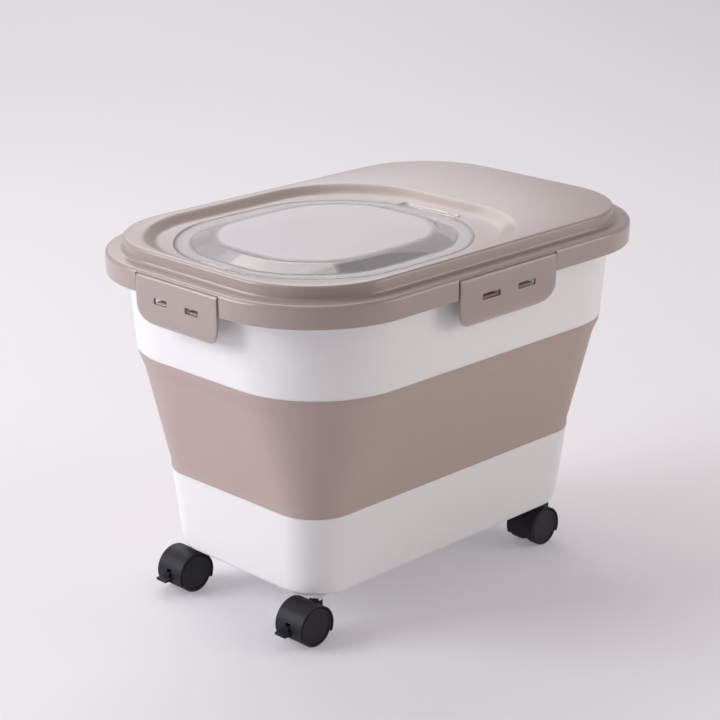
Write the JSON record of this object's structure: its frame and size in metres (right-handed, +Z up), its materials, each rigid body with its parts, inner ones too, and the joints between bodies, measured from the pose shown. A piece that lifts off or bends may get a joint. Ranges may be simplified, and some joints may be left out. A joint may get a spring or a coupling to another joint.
{
  "type": "collapsible pet food container",
  "caption": "Collapsible wheeled dry-food bin: rigid base and rim joined by a soft folding band, latched lid with a clear hinged hatch, swivel casters",
  "frame": {"origin": "on the floor under the middle of the part's box, with the bin opened out and the lid on", "axes": "+X runs the long way from the hatch's finger tab to the plain end of the lid, +Y runs across it, +Z is up"},
  "size_m": [0.452, 0.3088, 0.3225],
  "materials": {
    "white_shell": "satin white moulded plastic",
    "taupe_soft": "soft matt taupe moulding",
    "taupe_shell": "satin taupe moulded plastic",
    "clear_shell": null,
    "white_seal": "soft white seal",
    "black_shell": "fine matt black plastic",
    "bright_steel": "bright plated steel",
    "axle_steel": "plain steel"
  },
  "bodies": {
    "lower_body": {"lower_tub": "white_shell", "folding_band": "taupe_soft", "caster_stem_front_right": "bright_steel", "caster_stem_front_left": "bright_steel", "caster_stem_back_right": "bright_steel", "caster_stem_back_left": "bright_steel"},
    "upper_body": {"upper_ring": "white_shell"},
    "lid_body": {"lid": "taupe_shell", "lid_seal": "white_seal"},
    "hatch_body": {"hatch": "clear_shell", "hatch_seal": "white_seal"},
    "latch_front_body": {"latch_front": "taupe_shell"},
    "latch_back_body": {"latch_back": "taupe_shell"},
    "latch_right_body": {"latch_right": "taupe_shell"},
    "latch_left_body": {"latch_left": "taupe_shell"},
    "caster_front_right": {"caster_hood_front_right": "black_shell", "caster_axle_front_right": "axle_steel"},
    "wheel_outer_front_right_body": {"wheel_outer_front_right": "black_shell"},
    "wheel_inner_front_right_body": {"wheel_inner_front_right": "black_shell"},
    "brake_lever_front_right_body": {"brake_lever_front_right": "black_shell"},
    "caster_front_left": {"caster_hood_front_left": "black_shell", "caster_axle_front_left": "axle_steel"},
    "wheel_outer_front_left_body": {"wheel_outer_front_left": "black_shell"},
    "wheel_inner_front_left_body": {"wheel_inner_front_left": "black_shell"},
    "brake_lever_front_left_body": {"brake_lever_front_left": "black_shell"},
    "caster_back_right": {"caster_hood_back_right": "black_shell", "caster_axle_back_right": "axle_steel"},
    "wheel_outer_back_right_body": {"wheel_outer_back_right": "black_shell"},
    "wheel_inner_back_right_body": {"wheel_inner_back_right": "black_shell"},
    "caster_back_left": {"caster_hood_back_left": "black_shell", "caster_axle_back_left": "axle_steel"},
    "wheel_outer_back_left_body": {"wheel_outer_back_left": "black_shell"},
    "wheel_inner_back_left_body": {"wheel_inner_back_left": "black_shell"}
  },
  "joints": [
    {"name": "collapse", "type": "slide", "parent": "lower_body", "child": "upper_body", "axis": [0, 0, -1], "range_m": [0, 0.165], "deforming": ["folding_band"]},
    {"name": "lid_lift", "type": "slide", "parent": "upper_body", "child": "lid_body", "axis": [0, 0, 1], "range_m": [0, 0.18]},
    {"name": "hatch_hinge", "type": "hinge", "parent": "lid_body", "child": "hatch_body", "pos_m": [0.071, 0, 0.3142], "axis": [0, 1, 0], "range_deg": [0, 105]},
    {"name": "latch_front_hinge", "type": "hinge", "parent": "lid_body", "child": "latch_front_body", "pos_m": [-0.223, 0, 0.3059], "axis": [0, 1, 0], "range_deg": [0, 90]},
    {"name": "latch_back_hinge", "type": "hinge", "parent": "lid_body", "child": "latch_back_body", "pos_m": [0.223, 0, 0.3059], "axis": [0, -1, 0], "range_deg": [0, 90]},
    {"name": "latch_right_hinge", "type": "hinge", "parent": "lid_body", "child": "latch_right_body", "pos_m": [0, -0.1514, 0.3059], "axis": [-1, 0, 0], "range_deg": [0, 90]},
    {"name": "latch_left_hinge", "type": "hinge", "parent": "lid_body", "child": "latch_left_body", "pos_m": [0, 0.1514, 0.3059], "axis": [1, 0, 0], "range_deg": [0, 90]},
    {"name": "swivel_front_right", "type": "hinge", "parent": "lower_body", "child": "caster_front_right", "pos_m": [-0.147, -0.076, 0.035], "axis": [0, 0, 1], "continuous": true},
    {"name": "roll_outer_front_right", "type": "hinge", "parent": "caster_front_right", "child": "wheel_outer_front_right_body", "pos_m": [-0.1605, -0.076, 0.017], "axis": [0, 1, 0], "continuous": true},
    {"name": "roll_inner_front_right", "type": "hinge", "parent": "caster_front_right", "child": "wheel_inner_front_right_body", "pos_m": [-0.1605, -0.076, 0.017], "axis": [0, 1, 0], "continuous": true},
    {"name": "brake_front_right", "type": "hinge", "parent": "caster_front_right", "child": "brake_lever_front_right_body", "pos_m": [-0.17, -0.076, 0.017], "axis": [0, -1, 0], "range_deg": [0, 12]},
    {"name": "swivel_front_left", "type": "hinge", "parent": "lower_body", "child": "caster_front_left", "pos_m": [-0.147, 0.076, 0.035], "axis": [0, 0, 1], "continuous": true},
    {"name": "roll_outer_front_left", "type": "hinge", "parent": "caster_front_left", "child": "wheel_outer_front_left_body", "pos_m": [-0.1605, 0.076, 0.017], "axis": [0, 1, 0], "continuous": true},
    {"name": "roll_inner_front_left", "type": "hinge", "parent": "caster_front_left", "child": "wheel_inner_front_left_body", "pos_m": [-0.1605, 0.076, 0.017], "axis": [0, 1, 0], "continuous": true},
    {"name": "brake_front_left", "type": "hinge", "parent": "caster_front_left", "child": "brake_lever_front_left_body", "pos_m": [-0.17, 0.076, 0.017], "axis": [0, -1, 0], "range_deg": [0, 12]},
    {"name": "swivel_back_right", "type": "hinge", "parent": "lower_body", "child": "caster_back_right", "pos_m": [0.147, -0.076, 0.035], "axis": [0, 0, 1], "continuous": true},
    {"name": "roll_outer_back_right", "type": "hinge", "parent": "caster_back_right", "child": "wheel_outer_back_right_body", "pos_m": [0.1335, -0.076, 0.017], "axis": [0, 1, 0], "continuous": true},
    {"name": "roll_inner_back_right", "type": "hinge", "parent": "caster_back_right", "child": "wheel_inner_back_right_body", "pos_m": [0.1335, -0.076, 0.017], "axis": [0, 1, 0], "continuous": true},
    {"name": "swivel_back_left", "type": "hinge", "parent": "lower_body", "child": "caster_back_left", "pos_m": [0.147, 0.076, 0.035], "axis": [0, 0, 1], "continuous": true},
    {"name": "roll_outer_back_left", "type": "hinge", "parent": "caster_back_left", "child": "wheel_outer_back_left_body", "pos_m": [0.1335, 0.076, 0.017], "axis": [0, 1, 0], "continuous": true},
    {"name": "roll_inner_back_left", "type": "hinge", "parent": "caster_back_left", "child": "wheel_inner_back_left_body", "pos_m": [0.1335, 0.076, 0.017], "axis": [0, 1, 0], "continuous": true}
  ]
}
